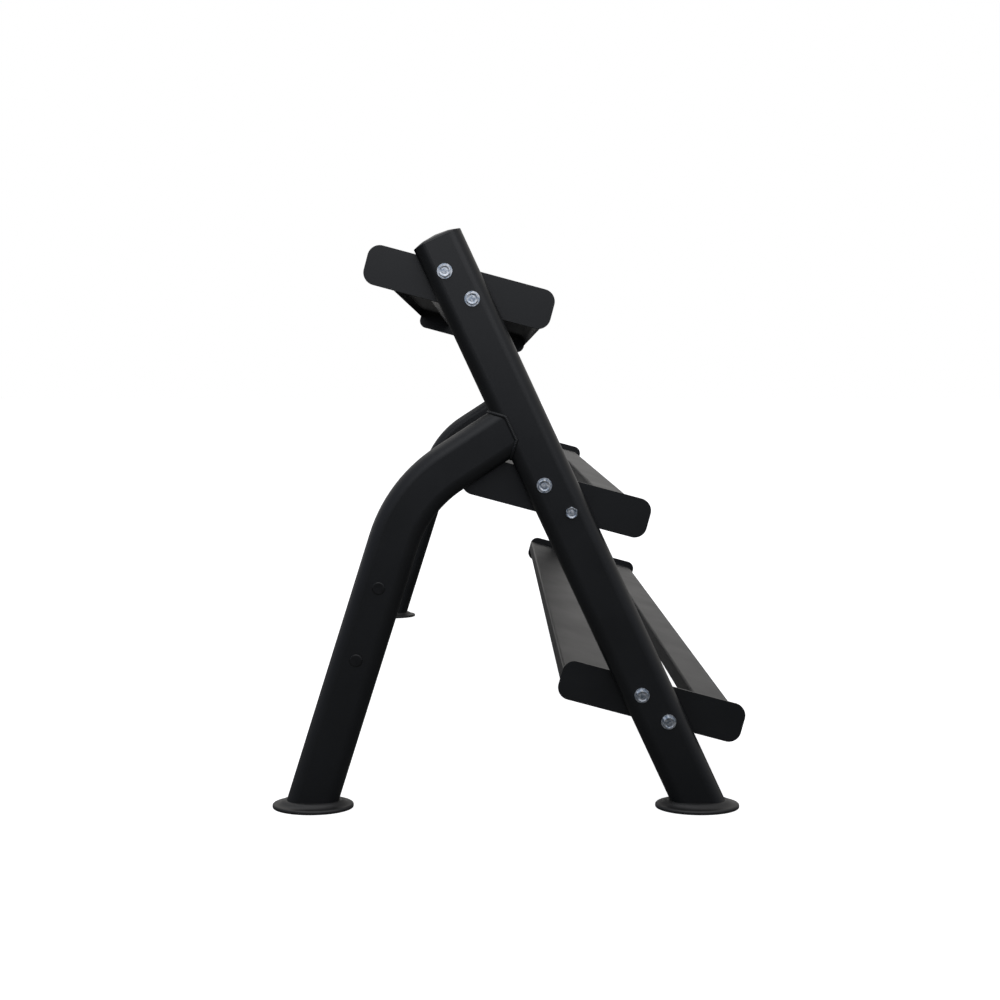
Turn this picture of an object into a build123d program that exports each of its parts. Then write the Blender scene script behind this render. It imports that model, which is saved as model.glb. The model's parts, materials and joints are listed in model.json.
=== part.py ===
from build123d import *
import os
from math import cos, radians, sin, tan

# Three-tier dumbbell rack.
# Millimetres and degrees.  X runs along the rack, the front faces -Y, Z is up.
# The origin is on the floor under the middle of the rack's outline.
# "back" is a distance towards +Y from the point where the upright's centre line meets the floor.

os.makedirs("parts", exist_ok=True)

# ---------------------------------------------------------------- driving dimensions

# Overall
rack_length = 1580.0        # outer flat to outer flat of the two side frames
foot_spacing = 625.0        # front foot to rear foot, centre lines at floor level
upright_length = 993.0      # floor to top end, along the centre line

# Flat-oval tube of the side frames
tube_depth = 80.0           # across, front to back
tube_thickness = 40.0       # across, along X
tube_wall = 2.5

# Angles of the side frame
upright_lean = 25.0         # from vertical, top towards the back
leg_lean = 17.5             # lower stretch of the rear leg, from vertical
leg_rise = 33.0             # upper stretch of the rear leg, from horizontal
leg_bend_radius = 215.0     # on the centre line
leg_joint_height = 618.0    # where the leg's centre line meets the upright's

# Shelves
shelf_tilt = 15.0           # down towards the front
bottom_shelf_at = 182.5     # centre of the bottom shelf, along the upright from the floor
shelf_pitch = 366.0         # along the upright
plate_depth = 305.0
plate_height = 64.0
plate_thickness = 4.0
plate_corner = 20.0
rail_drop = 14.0            # plate's top edge down to the rail's top face
front_rail_width = 76.0
rear_rail_width = 86.0
rail_sheet = 3.0
front_flange = 26.0         # down from the top face at the rack's front
rear_flange = 21.5          # down from the top face at the rack's back
inner_flange = 27.0         # down from the top face beside the gap
fold_radius = 4.0           # outside of the sharp folds
front_roll = 24.0           # outside radius of the front rail's rounded front edge
shelf_weld = 5.0            # leg of the fillet between a rail and an end plate

# Bolts, M10
bolt_spacing = 60.0         # between the two bolts of one joint
bolt_angle = 30.0           # of their line below the shelf's own slope
bolt_diameter = 10.0
bolt_length = 60.0
hole_clearance = 1.0        # hole over bolt, on the diameter
hex_across_flats = 17.0
head_height = 6.4
nut_height = 8.0
washer_diameter = 24.0
washer_thickness = 2.0
washer_clearance = 1.0      # bore over bolt, on the diameter
hex_chamfer = 1.1

# Rubber feet
foot_margin = 23.0          # beyond the tube's footprint, front and back
foot_side_margin = 19.0     # beyond the tube's sides
foot_sole = 5.0             # under the tube's end
foot_rim_height = 7.0
foot_rim_round = 3.0
foot_collar_height = 13.0
foot_collar_wall = 3.0      # thickness of the flare's upper edge round the tube
spigot_height = 30.0        # inside the tube, above the floor
spigot_clearance = 0.5

# Top caps
cap_height = 8.8
cap_crown = 113.0           # radius of the cap's crowned top, front to back
cap_round = 1.2
cap_plug_length = 14.0
cap_plug_wall = 2.5
cap_clearance = 0.2

# Plugs in the rear legs
plug_mid_at = 314.0         # middle of the two, along the leg from the floor
plug_pitch = 120.0
plug_diameter = 20.0
plug_hole = 16.0
plug_head = 2.5
plug_stem = 9.0
plug_round = 1.5
plug_clearance = 0.3

# Weld bead round the joint of leg and upright
bead_radius = 3.5           # at the bead's corners
bead_waist = 3.2            # radius between them

# ---------------------------------------------------------------- derived values

lean = radians(upright_lean)
leg_back_tilt = radians(leg_lean)
rise = radians(leg_rise)
tilt = radians(shelf_tilt)

frame_x = (rack_length - tube_thickness) / 2
inner_face_x = rack_length / 2 - tube_thickness
end_radius = tube_thickness / 2
flat_half = tube_depth / 2 - end_radius
rail_length = 2 * (inner_face_x - plate_thickness)

shelf_names = ("bottom", "middle", "top")
shelf_at = {name: bottom_shelf_at + n * shelf_pitch for n, name in enumerate(shelf_names)}

front_print = tube_depth / cos(lean)
rear_print = tube_depth / cos(leg_back_tilt)
front_foot_back = foot_collar_height * tan(lean)
rear_foot_back = foot_spacing - foot_collar_height * tan(leg_back_tilt)

# Outline front to back: the bottom end plate's rounded front corner and the rear foot's heel,
# with the front foot's toe in case it reaches further.
plate_reach = (
    (plate_depth / 2 - plate_corner) * cos(tilt)
    + (plate_height / 2 - plate_corner) * sin(tilt)
    + plate_corner
)
shelf_front = shelf_at["bottom"] * sin(lean) - plate_reach
toe_front = front_foot_back - front_print / 2 - foot_margin
heel_back = rear_foot_back + rear_print / 2 + foot_margin
middle_back = (min(shelf_front, toe_front) + heel_back) / 2

upright_up = Vector(0, sin(lean), cos(lean))
upright_across = Vector(0, cos(lean), -sin(lean))


def at(x, back, z):
    """A point from its X, its distance back from the upright's foot point, and its height."""
    return Vector(x, back - middle_back, z)


def upright_point(x, along):
    """A point on the upright's centre line."""
    return at(x, along * sin(lean), along * cos(lean))


# The rear leg's centre line: straight up from the foot, one bend, straight into the upright.
joint_back = leg_joint_height * tan(lean)
corner_back = (
    foot_spacing - tan(leg_back_tilt) * (leg_joint_height + joint_back * tan(rise))
) / (1 - tan(leg_back_tilt) * tan(rise))
corner_height = leg_joint_height - (corner_back - joint_back) * tan(rise)


def leg_point(x, along):
    """A point on the centre line of the leg's lower stretch."""
    return at(x, foot_spacing - along * sin(leg_back_tilt), along * cos(leg_back_tilt))


def shelf_plane(name, x=0.0):
    """A shelf's own plane: x along the rack, y up the slope to the back, z out of the shelf."""
    centre = upright_point(x, shelf_at[name])
    return Plane(origin=centre, x_dir=(1, 0, 0), z_dir=(0, -sin(tilt), cos(tilt)))


bolt_steps = [
    (place * bolt_spacing / 2 * cos(radians(bolt_angle)), place * bolt_spacing / 2 * sin(radians(bolt_angle)))
    for place in (1, -1)
]

# ---------------------------------------------------------------- tubes


def oval(grow=0.0):
    """The tube's flat-oval outline, wider or narrower by grow on each side."""
    return SlotOverall(tube_depth + 2 * grow, tube_thickness + 2 * grow)


def oval_solid(start, direction, across, length, grow=0.0):
    """A solid flat-oval bar from a point along a direction."""
    return extrude(Plane(origin=start, x_dir=across, z_dir=direction) * oval(grow), amount=length)


def below(height):
    """Everything under a height, for cutting a tube's foot level."""
    span = 2 * (rack_length + foot_spacing)
    return Pos(0, 0, height - span / 2) * Box(span, span, span)


def x_hole(point, diameter, length):
    """A round bar along X, centred on a point, for cutting a hole."""
    return Pos(*point) * Rot(0, 90, 0) * Cylinder(diameter / 2, length)


def bolt_points(name, x):
    """Where the two bolts of one joint cross the plane at x."""
    plane = shelf_plane(name, x)
    return [plane.from_local_coords((0, step_y, step_z)) for step_y, step_z in bolt_steps]


def upright_bar(x, grow=0.0):
    """The upright's outside as a solid bar, started below the floor."""
    start = upright_point(x, -tube_depth)
    return oval_solid(start, upright_up, upright_across, upright_length + tube_depth, grow)


def upright(x):
    tube = upright_bar(x) - upright_bar(x, -tube_wall) - below(foot_sole)
    for name in shelf_names:
        for point in bolt_points(name, x):
            tube -= x_hole(point, bolt_diameter + hole_clearance, 2 * tube_thickness)
    return tube


def leg_bar(x, grow=0.0):
    """The rear leg's outside as a solid bent bar, from below the floor to the upright's centre."""
    start = leg_point(x, -tube_depth)
    corner = at(x, corner_back, corner_height)
    end = at(x, joint_back, leg_joint_height)
    path = FilletPolyline(start, corner, end, radius=leg_bend_radius)
    section = Plane(origin=start, x_dir=(0, cos(leg_back_tilt), sin(leg_back_tilt)), z_dir=corner - start)
    return sweep(section * oval(grow), path=path)


def rear_leg(x, side):
    tube = leg_bar(x) - leg_bar(x, -tube_wall) - upright_bar(x) - below(foot_sole)
    for place in (-1, 1):
        centre = leg_point(x + side * tube_thickness / 2, plug_mid_at + place * plug_pitch / 2)
        tube -= x_hole(centre, plug_hole, tube_thickness)
    return tube


# ---------------------------------------------------------------- weld of leg and upright

seam_steps = 3              # straight runs of the bead round each rounded side


def seam_point(x, side, edge, drop):
    """A point of the seam; drop is how far it has gone round the tubes' rounded sides."""
    leg_up = Vector(0, sin(rise), cos(rise))
    leg_out = Vector(0, cos(rise), -sin(rise))
    joint = at(x, joint_back, leg_joint_height)
    # Back from the upright's centre line and up from the leg's, both square to their tubes.
    square_back = flat_half + drop
    square_up = edge * (flat_half + drop)
    out = (square_back - square_up * leg_up.dot(upright_across)) / leg_out.dot(upright_across)
    depth = (end_radius**2 - drop**2) ** 0.5
    return joint + leg_out * out + leg_up * square_up + Vector(side * depth, 0, 0)


def seam_bead(x):
    drops = [end_radius * sin(radians(90 * n / seam_steps)) for n in range(seam_steps + 1)]
    loop = [seam_point(x, 1, 1, drop) for drop in reversed(drops)]
    loop += [seam_point(x, 1, -1, drop) for drop in drops]
    loop += [seam_point(x, -1, -1, drop) for drop in reversed(drops[:-1])]
    loop += [seam_point(x, -1, 1, drop) for drop in drops[:-1]]
    bead = Part()
    for start, end in zip(loop, loop[1:] + loop[:1]):
        run = end - start
        bead += Pos(*start) * Sphere(bead_radius)
        bead += extrude(Plane(origin=start, z_dir=run) * Circle(bead_waist), amount=run.length)
    return bead - upright_bar(x) - leg_bar(x)


# ---------------------------------------------------------------- caps, feet and plugs


def top_cap(x):
    plane = Plane(origin=upright_point(x, upright_length), x_dir=upright_across, z_dir=upright_up)
    crown = Pos(0, 0, cap_height - cap_crown) * Rot(90, 0, 0) * Cylinder(cap_crown, 2 * tube_thickness)
    dome = extrude(oval(), amount=cap_height) & crown
    dome = fillet(dome.faces().sort_by(Axis.Z)[-1].edges(), cap_round)
    inner = -tube_wall - cap_clearance
    plug = extrude(oval(inner) - oval(inner - cap_plug_wall), amount=-cap_plug_length)
    return plane.location * (dome + plug)


def foot(x, back, print_length, floor_point, direction, across):
    """A moulded oval foot that flares up to the tube, with a spigot inside the tube."""
    centre = at(x, back, 0)
    base = Ellipse(print_length / 2 + foot_margin, tube_thickness / 2 + foot_side_margin)
    rim = extrude(base, amount=foot_rim_height)
    rim = fillet(rim.edges().group_by(Axis.Z)[-1], foot_rim_round)
    # The flare starts inside the rim, so that it leaves the rim's flat top a little in from its edge.
    inset = 2 * foot_rim_round
    root = Ellipse(print_length / 2 + foot_margin - inset, tube_thickness / 2 + foot_side_margin - inset)
    lip = Ellipse(print_length / 2 + 2 * foot_collar_wall, tube_thickness / 2 + 2 * foot_collar_wall)
    flare = loft([Pos(0, 0, foot_rim_height / 2) * root, Pos(0, 0, foot_collar_height) * lip])
    body = Pos(*centre) * Rot(0, 0, 90) * (rim + flare)
    reach = 2 * tube_depth
    socket = oval_solid(floor_point - direction * tube_depth, direction, across, reach) - below(foot_sole)
    spigot = oval_solid(
        floor_point - direction * tube_depth, direction, across, reach, -tube_wall - spigot_clearance
    )
    spigot = spigot - below(foot_sole / 2) - Pos(0, 0, 2 * spigot_height) * Box(
        2 * rack_length, 2 * rack_length, 2 * spigot_height
    )
    return body - socket + spigot


def front_foot(x):
    return foot(x, front_foot_back, front_print, at(x, 0, 0), upright_up, upright_across)


def rear_foot(x):
    direction = Vector(0, -sin(leg_back_tilt), cos(leg_back_tilt))
    across = Vector(0, cos(leg_back_tilt), sin(leg_back_tilt))
    return foot(x, rear_foot_back, rear_print, at(x, foot_spacing, 0), direction, across)


def leg_plugs(x, side):
    """The two round plugs that close the leg's outer holes."""
    head = fillet(Cylinder(plug_diameter / 2, plug_head).edges().group_by(Axis.Z)[-1], plug_round)
    head = Pos(0, 0, plug_head / 2) * head
    stem = Pos(0, 0, -plug_stem / 2) * Cylinder((plug_hole - plug_clearance) / 2, plug_stem)
    plug = Rot(0, side * 90, 0) * (head + stem)
    face_x = x + side * tube_thickness / 2
    places = [leg_point(face_x, plug_mid_at + place * plug_pitch / 2) for place in (-1, 1)]
    return [Pos(*place) * plug for place in places]


# ---------------------------------------------------------------- shelves


def end_plate(name, side):
    x = side * (inner_face_x - plate_thickness / 2)
    outline = RectangleRounded(plate_depth, plate_height, plate_corner)
    plate = extrude(Plane.YZ * outline, amount=plate_thickness / 2, both=True)
    for step_y, step_z in bolt_steps:
        plate -= x_hole((0, step_y, step_z), bolt_diameter + hole_clearance, 2 * plate_thickness)
    return shelf_plane(name, x).location * plate


def rail_profile(width, roll, outer_flange):
    """A rail's section in its own y and z: y from the gap to the outer edge, z down from the top."""
    skin = make_face(
        Polyline((0, -inner_flange), (0, 0), (width, 0), (width, -outer_flange), close=True)
    )
    skin = fillet(skin.vertices().sort_by_distance((0, 0))[0], fold_radius)
    skin = fillet(skin.vertices().sort_by_distance((width, 0))[0], roll)
    deep = -inner_flange - outer_flange
    core = make_face(
        Polyline(
            (rail_sheet, deep),
            (rail_sheet, -rail_sheet),
            (width - rail_sheet, -rail_sheet),
            (width - rail_sheet, deep),
            close=True,
        )
    )
    core = fillet(core.vertices().sort_by_distance((rail_sheet, -rail_sheet))[0], fold_radius - rail_sheet)
    core = fillet(
        core.vertices().sort_by_distance((width - rail_sheet, -rail_sheet))[0], roll - rail_sheet
    )
    return skin - core


def rail_width(side):
    return rear_rail_width if side > 0 else front_rail_width


def on_rail(name, side):
    """Where a rail's own section sits on a shelf: side is 1 for the rear rail, -1 for the front."""
    gap_half = plate_depth / 2 - rail_width(side)
    top = plate_height / 2 - rail_drop
    return shelf_plane(name).location * Pos(0, side * gap_half, top)


def rail(name, side, profile):
    """A section carried along X, turned so that its own y points outwards from the gap."""
    solid = extrude(Plane.YZ * profile, amount=rail_length / 2, both=True)
    if side < 0:
        solid = mirror(solid, about=Plane.XZ)
    return on_rail(name, side) * solid


def shelf_welds(name):
    """A fillet under each end of each rail, against its end plate."""
    beads = []
    for side, roll in ((-1, front_roll), (1, fold_radius)):
        width = rail_width(side) - fold_radius - roll - 2 * shelf_weld
        start = fold_radius + shelf_weld
        for end in (-1, 1):
            face_x = end * rail_length / 2
            corner = (
                (face_x, -rail_sheet),
                (face_x - end * shelf_weld, -rail_sheet),
                (face_x, -rail_sheet - shelf_weld),
            )
            bead = extrude(Plane.XZ * make_face(Polyline(*corner, close=True)), amount=-width)
            beads.append(on_rail(name, side) * Pos(0, side * start + min(0, side) * width, 0) * bead)
    return beads


# ---------------------------------------------------------------- bolts, washers and nuts


def hexagon(height):
    """A hexagonal prism with its top corners turned off, standing on the origin."""
    prism = extrude(RegularPolygon(hex_across_flats / 2, 6, major_radius=False), amount=height)
    corner_radius = hex_across_flats / 2 / cos(radians(30))
    turned = chamfer(Cylinder(corner_radius, height).edges().group_by(Axis.Z)[-1], hex_chamfer)
    return prism & (Pos(0, 0, height / 2) * turned)


def has_outer_washer(name, side, place):
    """The left frame's lower middle bolt sits straight on the tube."""
    return not (side < 0 and name == "middle" and place == 1)


def outward(side):
    """Turns +Z to point outwards along X."""
    return Rot(0, side * 90, 0)


def fasteners(name):
    bolts = []
    washers = []
    nuts = []
    ring = Circle(washer_diameter / 2) - Circle((bolt_diameter + washer_clearance) / 2)
    washer = extrude(ring, amount=washer_thickness)
    nut = hexagon(nut_height) - Cylinder(bolt_diameter / 2, 4 * nut_height)
    shank = Pos(0, 0, -bolt_length / 2) * Cylinder(bolt_diameter / 2, bolt_length)
    bolt = hexagon(head_height) + shank
    for side in (-1, 1):
        for place, point in enumerate(bolt_points(name, 0)):
            under_head = rack_length / 2
            if has_outer_washer(name, side, place):
                washers.append(Pos(side * under_head, point.Y, point.Z) * outward(side) * washer)
                under_head += washer_thickness
            bolts.append(Pos(side * under_head, point.Y, point.Z) * outward(side) * bolt)
            under_nut = inner_face_x - plate_thickness - washer_thickness
            washers.append(Pos(side * under_nut, point.Y, point.Z) * outward(side) * washer)
            nuts.append(Pos(side * under_nut, point.Y, point.Z) * outward(-side) * nut)
    return bolts, washers, nuts


# ---------------------------------------------------------------- the pieces


def save(node, solids):
    """Writes one node; a list is a group of separate solids."""
    shape = Compound(children=list(solids)) if isinstance(solids, list) else solids
    export_step(shape, f"parts/{node}.step")


for side_name, side in (("left", -1), ("right", 1)):
    x = side * frame_x
    save(f"{side_name}_upright", upright(x))
    save(f"{side_name}_rear_leg", rear_leg(x, side))
    save(f"{side_name}_leg_weld", seam_bead(x))
    save(f"{side_name}_top_cap", top_cap(x))
    save(f"{side_name}_front_foot", front_foot(x))
    save(f"{side_name}_rear_foot", rear_foot(x))
    save(f"{side_name}_leg_plugs", leg_plugs(x, side))

for name in shelf_names:
    save(f"{name}_left_end_plate", end_plate(name, -1))
    save(f"{name}_right_end_plate", end_plate(name, 1))
    save(f"{name}_front_rail", rail(name, -1, rail_profile(front_rail_width, front_roll, front_flange)))
    save(f"{name}_rear_rail", rail(name, 1, rail_profile(rear_rail_width, fold_radius, rear_flange)))
    save(f"{name}_shelf_welds", shelf_welds(name))
    bolts, washers, nuts = fasteners(name)
    save(f"{name}_bolts", bolts)
    save(f"{name}_washers", washers)
    save(f"{name}_nuts", nuts)
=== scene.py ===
import json
from math import cos, pi, radians, sin, tan

import bmesh
import bpy
from mathutils import Matrix, Vector


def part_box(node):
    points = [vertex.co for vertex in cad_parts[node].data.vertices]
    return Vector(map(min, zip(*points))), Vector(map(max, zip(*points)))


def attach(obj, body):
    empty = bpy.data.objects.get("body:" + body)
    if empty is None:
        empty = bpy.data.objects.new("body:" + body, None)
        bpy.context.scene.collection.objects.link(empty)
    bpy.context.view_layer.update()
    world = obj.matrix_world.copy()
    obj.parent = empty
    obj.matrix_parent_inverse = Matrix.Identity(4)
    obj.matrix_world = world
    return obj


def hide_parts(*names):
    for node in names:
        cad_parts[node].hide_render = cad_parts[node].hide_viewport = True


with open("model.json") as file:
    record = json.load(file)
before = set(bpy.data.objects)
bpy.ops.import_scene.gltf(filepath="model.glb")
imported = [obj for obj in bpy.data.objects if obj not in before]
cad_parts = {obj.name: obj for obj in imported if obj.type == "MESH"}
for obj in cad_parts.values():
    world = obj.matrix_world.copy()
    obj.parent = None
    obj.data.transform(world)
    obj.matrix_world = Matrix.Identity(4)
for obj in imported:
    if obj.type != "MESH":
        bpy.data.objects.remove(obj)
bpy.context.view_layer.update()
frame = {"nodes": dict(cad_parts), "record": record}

MM = 0.001

# The rack's own sizes, in millimetres and degrees, as its drawings give them.
TUBE_DEPTH = 80.0
TUBE_THICKNESS = 40.0
TUBE_RADIUS = TUBE_THICKNESS / 2                # of the flat-oval tube's two rounded sides
TUBE_FLAT = TUBE_DEPTH / 2 - TUBE_RADIUS        # half the flat between them
UPRIGHT_LEAN = 25.0
LEG_LEAN = 17.5
LEG_RISE = 33.0
LEG_JOINT_HEIGHT = 618.0
SHELF_TILT = 15.0
PAINT_ROUND = 0.7               # how far powder coat rounds a cut sheet edge

# Welds
BEAD = 3.4                      # radius of the bead between leg and upright
SHELF_BEAD = 5.0 * 0.55         # radius of the bead in a 5 mm fillet under a rail
SHELF_BEAD_SINK = 1             # how far its centre line lies inside the fillet's corner
SHELF_BEAD_SHORT = 2            # how far it stops before each end of the fillet
RIPPLE = 2.6                    # one ripple to the next
RIPPLE_STEPS = 4                # rings of the bead in one ripple
BEAD_SIDES = 14
SEAM_STEPS = 8                  # of a quarter turn round the tube

# Fasteners
THREAD_PITCH = 1.5
THREAD_STEPS = 32               # of one turn
THREAD_START = 0.4              # share of a pitch from the bolt's end
THREAD_SHAPE = ((0.0, -0.3), (0.5, 0.75), (1.0, -0.3))     # share of a pitch, height over the shank
BOLT_RADIUS = 5.0
NUT_FACE = 736.0                # from the rack's middle to where the thread goes into its nut
HEAD_HEIGHT = 6.4
HEAD_DISH = ((1.5, 0.0), (0.5, -0.55), (2.2, 0.0), (0.4, 0.4))     # each inset of the top, and its rise
PLATED_ROUNDS = (("bolts", 0.35), ("nuts", 0.3), ("washers", 0.35))

# Feet: the rim from the sole's edge up, as inset and height, then the flare's rings as shares of the
# way in to the tube.
FOOT_HEIGHT = 13.0
FOOT_LIP = 6.0
FOOT_RIM = (
    (2.2, 0.0), (0.9, 0.35), (0.2, 1.2), (0.0, 2.6), (0.0, 4.2), (0.35, 5.4), (1.3, 6.3), (2.6, 6.7),
)
FLARE_SHARES = (0.25, 0.5, 0.75, 0.9)
FLARE_HOLLOW = 2.2              # 1 would be a straight slope
SOLE = 5.0
SOCKET_GAP = 0.1                # round the tube's foot
SPIGOT_INSET = -3.1             # the spigot's side from the tube's outside
SPIGOT_TOP = 30.0

# Caps: the plug and rim as inset and height, then the dome's rings from its edge to its ridge.
CAP_EDGE = 1.3
CAP_CROWN = 7.4
CAP_PLUG_LENGTH = 14.0
CAP_SIDE = (
    (5.5, -CAP_PLUG_LENGTH), (3.3, -CAP_PLUG_LENGTH + 2), (2.7, -0.2), (2.7, 0), (0.15, 0), (0.0, 0.15),
    (0.0, CAP_EDGE),
)
DOME_SHARES = (0.04, 0.1, 0.2, 0.32, 0.46, 0.62, 0.8, 1.0)
DOME_FULLNESS = 0.45            # 0.5 would be a round section
RING_POINTS = 96

SIDES = ("left", "right")
SHELVES = ("bottom", "middle", "top")


# ------------------------------------------------------------------ finishes

def linear(hex_colour):
    """An sRGB hex colour as Blender's linear RGBA."""
    channels = [int(hex_colour[i:i + 2], 16) / 255 for i in (1, 3, 5)]
    return [
        c / 12.92 if c <= 0.04045 else ((c + 0.055) / 1.055) ** 2.4 for c in channels
    ] + [1.0]


def add_node(tree, kind, settings=None, **inputs):
    """Adds one node. An input goes by its name, or by i and its number, and is a value or a link."""
    made = tree.nodes.new(kind)
    for name, value in (settings or {}).items():
        setattr(made, name, value)
    for name, value in inputs.items():
        by_number = name[1:].isdigit()
        socket = made.inputs[int(name[1:]) if by_number else name.replace("_", " ")]
        if isinstance(value, bpy.types.NodeSocket):
            tree.links.new(value, socket)
        else:
            socket.default_value = value
    return made


def new_material(name):
    material = bpy.data.materials.new(name)
    material.use_nodes = True
    material.node_tree.nodes.clear()
    return material, material.node_tree


def blend_colours(tree, factor, low, high):
    """A colour between two hex colours, by a 0 to 1 output."""
    mix = add_node(
        tree, "ShaderNodeMix", {"data_type": "RGBA"}, i0=factor, i6=linear(low), i7=linear(high)
    )
    return mix.outputs[2]


def span(tree, value, low, high, start=0.3, end=0.7):
    """Maps an output's start to end onto low to high, held at both ends."""
    mapped = add_node(
        tree, "ShaderNodeMapRange", {"clamp": True}, Value=value,
        From_Min=start, From_Max=end, To_Min=low, To_Max=high,
    )
    return mapped.outputs["Result"]


def per_mm(millimetres):
    """The scale of a noise on Object coordinates, in metres, whose features are this long."""
    return 1 / (millimetres * MM)


def powder_coat(name, colour, lighter, roughness, peel):
    """Polyester powder coat, sprayed and baked on steel: satin, with a fine orange peel."""
    material, tree = new_material(name)
    place = add_node(tree, "ShaderNodeTexCoord").outputs["Object"]
    # Orange peel is 2.5 mm from hump to hump. The powder's grain is drawn at 0.6 mm so that it shows.
    orange_peel = add_node(tree, "ShaderNodeTexNoise", Vector=place, Scale=per_mm(2.5), Detail=1.0)
    grain = add_node(tree, "ShaderNodeTexNoise", Vector=place, Scale=per_mm(0.6), Detail=2.0)
    # The film's thickness drifts over a hand's breadth, and its colour and gloss with it.
    cloud = add_node(tree, "ShaderNodeTexNoise", Vector=place, Scale=per_mm(90), Detail=3.0)
    film = blend_colours(tree, span(tree, cloud.outputs["Fac"], 0.0, 1.0), colour, lighter)
    worn = add_node(
        tree, "ShaderNodeMath", {"operation": "ADD"},
        i0=span(tree, cloud.outputs["Fac"], roughness - 0.03, roughness + 0.03),
        i1=span(tree, grain.outputs["Fac"], -0.03, 0.03),
    )
    peel_bump = add_node(
        tree, "ShaderNodeBump", Strength=peel, Distance=0.05 * MM, Height=orange_peel.outputs["Fac"]
    )
    bump = add_node(
        tree, "ShaderNodeBump", Strength=0.35, Distance=0.02 * MM, Height=grain.outputs["Fac"],
        Normal=peel_bump.outputs["Normal"],
    )
    shader = add_node(
        tree, "ShaderNodeBsdfPrincipled", Base_Color=film, Roughness=worn.outputs["Value"], IOR=1.5,
        Normal=bump.outputs["Normal"],
    )
    add_node(tree, "ShaderNodeOutputMaterial", Surface=shader.outputs["BSDF"])
    return material


def bright_zinc(name):
    """Electroplated zinc, blue passivated: a pale bluish metal, faintly cloudy and finely mottled."""
    material, tree = new_material(name)
    place = add_node(tree, "ShaderNodeTexCoord").outputs["Object"]
    cloud = add_node(tree, "ShaderNodeTexNoise", Vector=place, Scale=per_mm(4.5), Detail=2.0)
    spangle = add_node(tree, "ShaderNodeTexVoronoi", Vector=place, Scale=per_mm(1.4))
    plate = blend_colours(
        tree, span(tree, cloud.outputs["Fac"], 0.0, 1.0, 0.35, 0.65), "#9aa8b8", "#eef1f4"
    )
    rough = add_node(
        tree, "ShaderNodeMath", {"operation": "ADD"},
        i0=span(tree, cloud.outputs["Fac"], 0.22, 0.36),
        i1=span(tree, spangle.outputs["Distance"], 0.0, 0.08, 0.0, 0.6),
    )
    bump = add_node(
        tree, "ShaderNodeBump", Strength=0.35, Distance=0.05 * MM, Height=spangle.outputs["Distance"]
    )
    shader = add_node(
        tree, "ShaderNodeBsdfPrincipled", Base_Color=plate, Metallic=1.0,
        Roughness=rough.outputs["Value"], Normal=bump.outputs["Normal"],
    )
    add_node(tree, "ShaderNodeOutputMaterial", Surface=shader.outputs["BSDF"])
    return material


def moulded(name, colour, lighter, roughness, ior, texture_mm, depth_mm):
    """A moulding straight from its tool: the tool's fine spark-eroded texture, and a faint bloom."""
    material, tree = new_material(name)
    place = add_node(tree, "ShaderNodeTexCoord").outputs["Object"]
    skin = add_node(tree, "ShaderNodeTexNoise", Vector=place, Scale=per_mm(texture_mm), Detail=3.0)
    bloom = add_node(tree, "ShaderNodeTexNoise", Vector=place, Scale=per_mm(14), Detail=3.0)
    body = blend_colours(tree, span(tree, bloom.outputs["Fac"], 0.0, 1.0), colour, lighter)
    bump = add_node(
        tree, "ShaderNodeBump", Strength=0.4, Distance=depth_mm * MM, Height=skin.outputs["Fac"]
    )
    shader = add_node(
        tree, "ShaderNodeBsdfPrincipled", Base_Color=body, IOR=ior,
        Roughness=span(tree, bloom.outputs["Fac"], roughness - 0.05, roughness + 0.06),
        Normal=bump.outputs["Normal"],
    )
    add_node(tree, "ShaderNodeOutputMaterial", Surface=shader.outputs["BSDF"])
    return material


finishes = {
    "frame_paint": powder_coat(
        "satin_powder_coat_on_tube", "#0f1113", "#131517", roughness=0.38, peel=0.25
    ),
    "shelf_paint": powder_coat(
        "satin_powder_coat_on_sheet", "#0f1113", "#131517", roughness=0.42, peel=0.3
    ),
    "zinc_plate": bright_zinc("blue_passivated_zinc_plate"),
    # Low-density polyethylene, injection moulded: a waxy gloss.
    "cap_plastic": moulded(
        "moulded_polyethylene_cap", "#0d0e10", "#121315",
        roughness=0.2, ior=1.51, texture_mm=0.8, depth_mm=0.01,
    ),
    "plug_plastic": moulded(
        "moulded_polyethylene_plug", "#0d0e10", "#121315",
        roughness=0.30, ior=1.51, texture_mm=0.8, depth_mm=0.02,
    ),
    # Compression-moulded rubber: dull, with a soft wide sheen.
    "foot_rubber": moulded(
        "moulded_rubber", "#202020", "#282828", roughness=0.40, ior=1.52, texture_mm=1.2, depth_mm=0.05
    ),
}
slot_of = {part["node"]: part["material_slot"] for part in frame["record"]["subparts"]}
for name, cad_piece in frame["nodes"].items():
    cad_piece.data.materials.clear()
    cad_piece.data.materials.append(finishes[slot_of[name]])


# ------------------------------------------------------------------ making pieces

def make_piece(name, bm, *replaced):
    """Turns a bmesh, in millimetres and in place, into a piece that stands for CAD nodes."""
    bmesh.ops.scale(bm, vec=(MM, MM, MM), verts=bm.verts)
    mesh = bpy.data.meshes.new(name)
    bm.to_mesh(mesh)
    bm.free()
    piece = bpy.data.objects.new(name, mesh)
    bpy.context.scene.collection.objects.link(piece)
    slot = slot_of[replaced[0]]
    mesh.materials.append(finishes[slot])
    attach(piece, "root")
    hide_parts(*replaced)
    return piece


def shade(piece, angle=35.0):
    """Smooth, with edges sharper than the angle kept crisp and flat faces kept flat."""
    piece.data.shade_smooth()
    piece.data.set_sharp_from_angle(angle=radians(angle))
    flatten = piece.modifiers.new("flatten", "WEIGHTED_NORMAL")
    flatten.weight = 100
    flatten.keep_sharp = True


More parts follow.
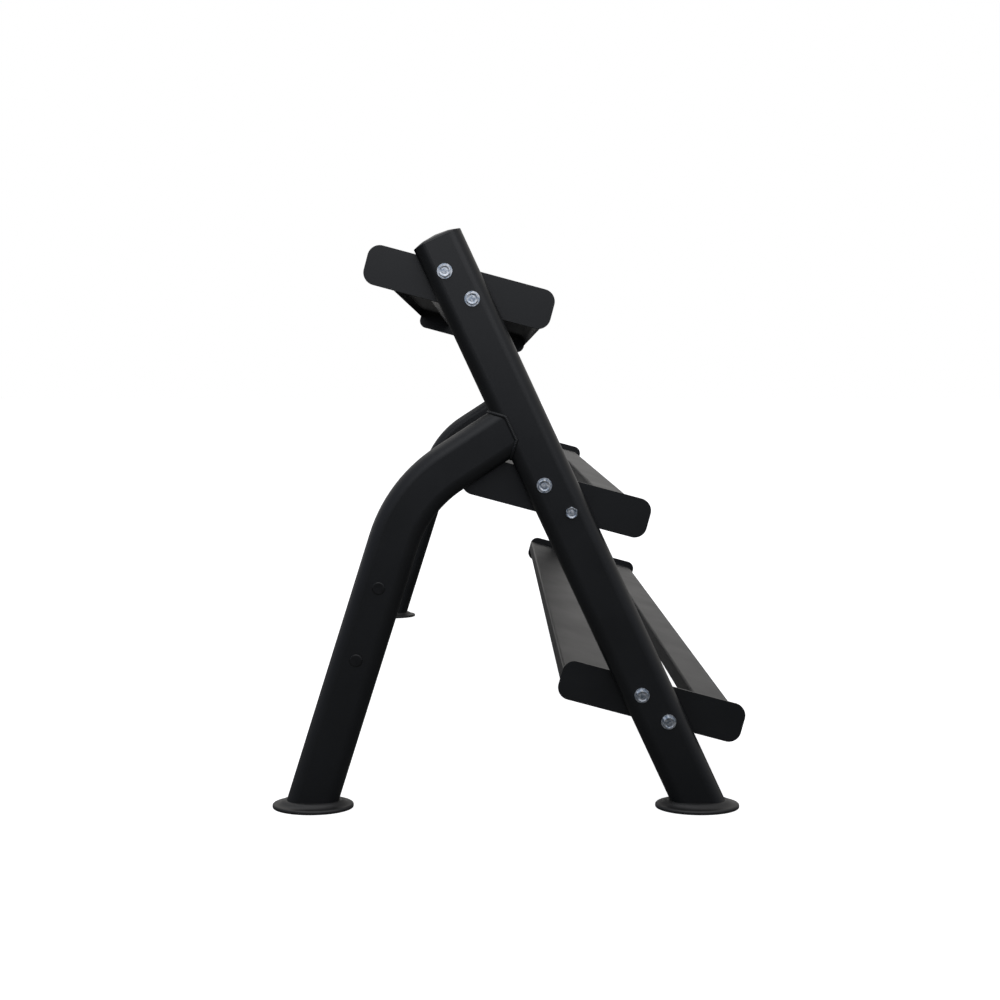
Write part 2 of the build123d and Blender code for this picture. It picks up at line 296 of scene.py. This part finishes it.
def merged_copy(node_name):
    """A CAD node's mesh as a bmesh in millimetres, welded into clean faces."""
    bm = bmesh.new()
    bm.from_mesh(frame["nodes"][node_name].data)
    bmesh.ops.scale(bm, vec=(1 / MM, 1 / MM, 1 / MM), verts=bm.verts)
    bmesh.ops.remove_doubles(bm, verts=bm.verts, dist=0.001)
    bmesh.ops.dissolve_limit(bm, angle_limit=radians(0.5), verts=bm.verts, edges=bm.edges)
    return bm


def soften(bm, radius, sharper_than=40.0):
    """Rounds every edge that turns by more than an angle."""
    sharp = [
        e for e in bm.edges
        if len(e.link_faces) == 2 and e.calc_face_angle(0.0) > radians(sharper_than)
    ]
    bmesh.ops.bevel(
        bm, geom=sharp, offset=radius, offset_type="OFFSET", segments=2, profile=0.5, material=-1,
        affect="EDGES", clamp_overlap=True,
    )


def centre_of(node_name):
    low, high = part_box(node_name)
    return (low + high) / 2 / MM


# ------------------------------------------------------------------ sheet metal

def sheet_metal(node_name):
    """An end plate or a rail, with its cut edges rounded by the coat."""
    bm = merged_copy(node_name)
    soften(bm, PAINT_ROUND)
    shade(make_piece(f"{node_name}_coated", bm, node_name))


# ------------------------------------------------------------------ welds

def add_bead(bm, points, radius, aside, closed=False):
    """A rippled bead along points, RIPPLE_STEPS of them to a ripple. It never runs along aside."""
    rings = []
    count = len(points)
    for n, point in enumerate(points):
        if closed:
            ahead = (points[(n + 1) % count] - points[n - 1]).normalized()
        else:
            ahead = (points[min(n + 1, count - 1)] - points[max(n - 1, 0)]).normalized()
        across = ahead.cross(aside).normalized()
        up = across.cross(ahead)
        # From 0.84 of the radius between two ripples to all of it on top of one.
        swollen = radius * (0.84 + 0.16 * abs(sin(pi * n / RIPPLE_STEPS)))
        rings.append([
            bm.verts.new(point + (across * cos(turn) + up * sin(turn)) * swollen)
            for turn in (2 * pi * k / BEAD_SIDES for k in range(BEAD_SIDES))
        ])
    for first, second in zip(rings, rings[1:] + rings[:1] if closed else rings[1:]):
        for k in range(BEAD_SIDES):
            after = (k + 1) % BEAD_SIDES
            bm.faces.new((first[k], first[after], second[after], second[k]))
    if not closed:
        bm.faces.new(rings[0])
        bm.faces.new(rings[-1])
    bmesh.ops.recalc_face_normals(bm, faces=bm.faces)


def evenly(points, step):
    """Points a step apart along a run of straight lines."""
    spread, left = [points[0]], step
    for start, end in zip(points, points[1:]):
        run = (end - start).length
        while left <= run:
            spread.append(start.lerp(end, left / run))
            left += step
        left -= run
    return spread


def upright_foot_y(side_name):
    """Where the upright's centre line meets the floor."""
    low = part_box(f"{side_name}_upright")[0] / MM
    half_print = TUBE_DEPTH / 2 / cos(radians(UPRIGHT_LEAN))
    return low.y + half_print - low.z * tan(radians(UPRIGHT_LEAN))


def seam(side_name):
    """The closed line where the leg's flat-oval tube meets the upright's."""
    lean, rise = radians(UPRIGHT_LEAN), radians(LEG_RISE)
    joint = Vector((
        centre_of(f"{side_name}_upright").x,
        upright_foot_y(side_name) + LEG_JOINT_HEIGHT * tan(lean),
        LEG_JOINT_HEIGHT,
    ))
    across = Vector((0, cos(lean), -sin(lean)))
    leg_up = Vector((0, sin(rise), cos(rise)))
    leg_out = Vector((0, cos(rise), -sin(rise)))

    def point(side, edge, turn):
        drop = TUBE_RADIUS * sin(turn)
        square_up = edge * (TUBE_FLAT + drop)
        out = (TUBE_FLAT + drop - square_up * leg_up.dot(across)) / leg_out.dot(across)
        sideways = Vector((side * TUBE_RADIUS * cos(turn), 0, 0))
        return joint + leg_out * out + leg_up * square_up + sideways

    turns = [pi / 2 * n / SEAM_STEPS for n in range(SEAM_STEPS + 1)]
    loop = [point(1, 1, turn) for turn in reversed(turns)]
    loop += [point(1, -1, turn) for turn in turns]
    loop += [point(-1, -1, turn) for turn in reversed(turns[:-1])]
    loop += [point(-1, 1, turn) for turn in turns]
    return loop


def leg_weld(side_name):
    """The bead all round the leg's top end."""
    bm = bmesh.new()
    points = evenly(seam(side_name), RIPPLE / RIPPLE_STEPS)
    # A last point nearly on the first would fold the closing ring.
    while (points[-1] - points[0]).length < RIPPLE / 5:
        points.pop()
    lean = radians(UPRIGHT_LEAN)
    add_bead(bm, points, BEAD, Vector((0, cos(lean), -sin(lean))), closed=True)
    make_piece(f"{side_name}_rippled_bead", bm, f"{side_name}_leg_weld").data.shade_smooth()


def shelf_welds(shelf):
    """The four fillets under the rails' ends, each a rippled bead along its corner."""
    tilt = radians(SHELF_TILT)
    slope = Vector((0, cos(tilt), sin(tilt)))
    square = Vector((0, -sin(tilt), cos(tilt)))
    bm = bmesh.new()
    for solid in islands(merged_copy(f"{shelf}_shelf_welds")):
        low_x = min(v.x for v in solid)
        high_x = max(v.x for v in solid)
        side = 1 if low_x > 0 else -1
        front = min(v.dot(slope) for v in solid)
        width = max(v.dot(slope) for v in solid) - front
        top = max(v.dot(square) for v in solid)
        start = slope * front + square * (top - SHELF_BEAD_SINK)
        start.x = (max(abs(low_x), abs(high_x)) - SHELF_BEAD_SINK) * side
        first, last = SHELF_BEAD_SHORT, width - SHELF_BEAD_SHORT
        run = evenly([start + slope * first, start + slope * last], RIPPLE / RIPPLE_STEPS)
        add_bead(bm, run, SHELF_BEAD, Vector((1, 0, 0)))
    make_piece(f"{shelf}_rippled_welds", bm, f"{shelf}_shelf_welds").data.shade_smooth()


def islands(bm):
    """The corner points of each separate solid of a bmesh, which this uses up."""
    bm.verts.ensure_lookup_table()
    seen, found = set(), []
    for vert in bm.verts:
        if vert in seen:
            continue
        group, queue = [], [vert]
        seen.add(vert)
        while queue:
            here = queue.pop()
            group.append(here.co.copy())
            for edge in here.link_edges:
                other = edge.other_vert(here)
                if other not in seen:
                    seen.add(other)
                    queue.append(other)
        found.append(group)
    bm.free()
    return found


# ------------------------------------------------------------------ feet

def add_ring(bm, half_depth, half_width, straight=0.0, stretch=1.0, y=0.0, z=0.0):
    """One closed ring of edges round Z: an ellipse, or a flat oval if it has straight sides."""
    ring = bmesh.ops.create_circle(bm, segments=RING_POINTS, radius=1.0)["verts"]
    for vert in ring:
        side = (vert.co.y > 0.001) - (vert.co.y < -0.001)
        vert.co.x *= half_width
        vert.co.y = (vert.co.y * half_depth + side * straight) * stretch + y
        vert.co.z = z
    return ring


def loft(bm, rings, ends=(0, -1)):
    """Bridges each ring to the next and closes those at the ends."""
    loops = [list(dict.fromkeys(edge for vert in ring for edge in vert.link_edges)) for ring in rings]
    for first, second in zip(loops, loops[1:]):
        bmesh.ops.bridge_loops(bm, edges=first + second)
    for end in ends:
        bmesh.ops.contextual_create(bm, geom=rings[end])
    bmesh.ops.recalc_face_normals(bm, faces=bm.faces)


def foot(side_name, end, lean):
    """A moulded oval foot: a rounded rim, a hollow flare up to the tube, and a spigot up inside it."""
    node_name = f"{side_name}_{end}_foot"
    low, high = (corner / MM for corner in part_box(node_name))
    half_depth, half_width = (high.y - low.y) / 2, (high.x - low.x) / 2
    stretch = 1 / cos(radians(lean))
    lean_out = tan(radians(lean))
    rim_inset, rim_top = FOOT_RIM[-1]
    lip_depth = TUBE_DEPTH / 2 * stretch + FOOT_LIP
    lip_width = TUBE_RADIUS + FOOT_LIP
    bm = bmesh.new()
    rings = [add_ring(bm, half_depth - inset, half_width - inset, z=z) for inset, z in FOOT_RIM]
    for share in FLARE_SHARES:
        rings.append(add_ring(
            bm,
            (half_depth - rim_inset) * (1 - share) + lip_depth * share,
            (half_width - rim_inset) * (1 - share) + lip_width * share,
            z=rim_top + (FOOT_HEIGHT - rim_top) * share ** FLARE_HOLLOW,
        ))
    for inset, drop in ((1.0, 0.5), (1.8, 0.0)):
        rings.append(add_ring(bm, lip_depth - inset, lip_width - inset, z=FOOT_HEIGHT - drop))
    # Down into the socket that the tube stands in, and up the spigot inside the tube.
    for grow, z in (
        (SOCKET_GAP, FOOT_HEIGHT), (SOCKET_GAP, SOLE), (SPIGOT_INSET, SOLE), (SPIGOT_INSET, SPIGOT_TOP)
    ):
        size = TUBE_RADIUS + grow
        rings.append(add_ring(bm, size, size, TUBE_FLAT, stretch, (z - FOOT_HEIGHT) * lean_out, z))
    loft(bm, rings)
    bmesh.ops.translate(bm, vec=((low.x + high.x) / 2, (low.y + high.y) / 2, 0), verts=bm.verts)
    shade(make_piece(f"{node_name}_moulded", bm, node_name), 50)


# ------------------------------------------------------------------ caps

def top_cap(side_name):
    """A moulded cap with a domed top, pressed into the tube's end."""
    node_name = f"{side_name}_top_cap"
    lean = radians(UPRIGHT_LEAN)
    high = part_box(f"{side_name}_upright")[1] / MM
    half = TUBE_DEPTH / 2
    bm = bmesh.new()
    rings = [
        add_ring(bm, TUBE_RADIUS - inset, TUBE_RADIUS - inset, TUBE_FLAT, z=z) for inset, z in CAP_SIDE
    ]
    for share in DOME_SHARES:
        size = TUBE_RADIUS * (1 - share)
        ring = add_ring(bm, size, size, TUBE_FLAT, z=CAP_EDGE)
        rise = (1 - (1 - share) ** 2) ** DOME_FULLNESS
        for vert in ring:
            vert.co.z += CAP_CROWN * (1 - (vert.co.y / half) ** 2) * rise
        rings.append(ring)
    loft(bm, rings, ends=(0,))
    # The last ring is flat against itself, and merges into the dome's ridge.
    bmesh.ops.remove_doubles(bm, verts=bm.verts, dist=0.001)
    place = Vector((centre_of(node_name).x, high.y - half * cos(lean), high.z - half * sin(lean)))
    bmesh.ops.rotate(bm, matrix=Matrix.Rotation(-lean, 3, "X"), verts=bm.verts)
    bmesh.ops.translate(bm, vec=place, verts=bm.verts)
    shade(make_piece(f"{node_name}_domed", bm, node_name), 50)


# ------------------------------------------------------------------ fasteners

def fastener_copies(shelf):
    """Bolts, nuts and washers with the small rounds that forging and plating leave."""
    for part, radius in PLATED_ROUNDS:
        node_name = f"{shelf}_{part}"
        bm = merged_copy(node_name)
        soften(bm, radius, 25.0)
        if part == "bolts":
            sink_heads(bm)
            add_threads(bm, shelf)
        shade(make_piece(f"{node_name}_plated", bm, node_name), 30)


def sink_heads(bm):
    """The shallow dish that forging leaves in a bolt's head, with a low boss in its middle."""
    reach = max(abs(vert.co.x) for vert in bm.verts)
    tops = [
        face for face in bm.faces
        if abs(face.normal.x) > 0.99 and abs(face.calc_center_median().x) > reach - HEAD_HEIGHT / 2
    ]
    for thickness, depth in HEAD_DISH:
        bmesh.ops.inset_individual(bm, faces=tops, thickness=thickness, depth=depth)


def add_threads(bm, shelf):
    """The turns of thread that show past each nut."""
    for solid in islands(merged_copy(f"{shelf}_bolts")):
        middle = Vector([(min(v[i] for v in solid) + max(v[i] for v in solid)) / 2 for i in range(3)])
        side = 1 if middle.x > 0 else -1
        end_x = min(abs(v.x) for v in solid)
        turns = int((NUT_FACE - end_x) / THREAD_PITCH)
        ridge = [
            bm.verts.new((
                side * (end_x + THREAD_PITCH * (THREAD_START + along)),
                middle.y,
                middle.z + BOLT_RADIUS + height,
            ))
            for along, height in THREAD_SHAPE
        ]
        facet = bm.faces.new(ridge)
        bmesh.ops.spin(
            bm, geom=ridge + list(facet.edges) + [facet], cent=middle, axis=(1, 0, 0),
            dvec=(side * THREAD_PITCH / THREAD_STEPS, 0, 0), angle=2 * pi * turns,
            steps=THREAD_STEPS * turns, use_duplicate=False,
        )


for side_name in SIDES:
    leg_weld(side_name)
    foot(side_name, "front", UPRIGHT_LEAN)
    foot(side_name, "rear", -LEG_LEAN)
    top_cap(side_name)
for shelf in SHELVES:
    for part in ("left_end_plate", "right_end_plate", "front_rail", "rear_rail"):
        sheet_metal(f"{shelf}_{part}")
    shelf_welds(shelf)
    fastener_copies(shelf)

# ------------------------------------------------------------------ camera, light and floor

# The camera stands off the rack's left end and looks along it, slightly down.
CAMERA_DISTANCE = 1.8521
CAMERA_Y = 0.0312
CAMERA_HEIGHT = 0.6806
CAMERA_DOWN = 3.434
left_frame_x = centre_of("left_upright").x * MM
camera = bpy.data.cameras.new("camera")
camera.sensor_width = 36.0
camera.lens = 42.46
camera.shift_x = 0.0096
camera.shift_y = -0.0480
camera_object = bpy.data.objects.new("camera", camera)
bpy.context.scene.collection.objects.link(camera_object)
camera_object.location = (left_frame_x - CAMERA_DISTANCE, CAMERA_Y, CAMERA_HEIGHT)
camera_object.rotation_euler = (radians(90 - CAMERA_DOWN), 0, radians(-90))
bpy.context.scene.camera = camera_object


def softbox(name, place, aim, size, watts):
    """A large soft light that faces a point."""
    lamp = bpy.data.lights.new(name, "AREA")
    lamp.shape = "RECTANGLE"
    lamp.size, lamp.size_y = size
    lamp.energy = watts
    holder = bpy.data.objects.new(name, lamp)
    bpy.context.scene.collection.objects.link(holder)
    holder.location = place
    holder.rotation_euler = (Vector(aim) - Vector(place)).to_track_quat("-Z", "Y").to_euler()


softbox("overhead", place=(-0.3, 0.7, 2.6), aim=(0, 0, 0.5), size=(3.0, 1.6), watts=10)
softbox("high_side", place=(-3.0, -0.2, 2.2), aim=(-0.79, 0, 0.7), size=(3.4, 2.6), watts=22)

FLOOR_HALF_SIZE = 40
floor_mesh = bmesh.new()
bmesh.ops.create_grid(floor_mesh, x_segments=1, y_segments=1, size=FLOOR_HALF_SIZE)
floor_data = bpy.data.meshes.new("floor")
floor_mesh.to_mesh(floor_data)
floor_mesh.free()
floor = bpy.data.objects.new("floor", floor_data)
bpy.context.scene.collection.objects.link(floor)
white_floor, floor_tree = new_material("white_studio_floor")
seen = add_node(floor_tree, "ShaderNodeLightPath").outputs["Is Camera Ray"]
diffuse = add_node(floor_tree, "ShaderNodeBsdfDiffuse", Color=linear("#f4f4f4"))
lift = add_node(floor_tree, "ShaderNodeEmission", Color=linear("#ffffff"), Strength=0.75)
bright = add_node(
    floor_tree, "ShaderNodeAddShader", i0=diffuse.outputs["BSDF"], i1=lift.outputs["Emission"]
)
# What the rack itself catches from the floor is held down, as by a dark cloth out of sight.
dark = add_node(floor_tree, "ShaderNodeBsdfDiffuse", Color=linear("#646462"))
either = add_node(
    floor_tree, "ShaderNodeMixShader", i0=seen, i1=dark.outputs["BSDF"], i2=bright.outputs["Shader"]
)
add_node(floor_tree, "ShaderNodeOutputMaterial", Surface=either.outputs["Shader"])
floor_data.materials.append(white_floor)

# The room: bright behind the rack and to its front, dim on the side that the camera stands on.
world = bpy.data.worlds.new("studio")
bpy.context.scene.world = world
world.use_nodes = True
room = world.node_tree
room.nodes.clear()
direction = add_node(room, "ShaderNodeTexCoord").outputs["Generated"]
facing = add_node(
    room, "ShaderNodeVectorMath", {"operation": "DOT_PRODUCT"}, i0=direction, i1=(0.86, -0.3, 0.41)
)
glow = span(room, facing.outputs["Value"], 0.42, 0.62, -0.5, 0.85)
tint = blend_colours(
    room, span(room, facing.outputs["Value"], 0.0, 1.0, -0.5, 0.7), "#e8eeff", "#fffdfb"
)
seen = add_node(room, "ShaderNodeLightPath").outputs["Is Camera Ray"]
level = add_node(room, "ShaderNodeMix", {"data_type": "FLOAT"}, Factor=seen, i2=glow, i3=1.0)
hue = add_node(room, "ShaderNodeMix", {"data_type": "RGBA"}, i0=seen, i6=tint, i7=linear("#ffffff"))
light = add_node(room, "ShaderNodeBackground", Color=hue.outputs[2], Strength=level.outputs[0])
add_node(room, "ShaderNodeOutputWorld", Surface=light.outputs["Background"])

bpy.context.scene.view_settings.view_transform = "Standard"
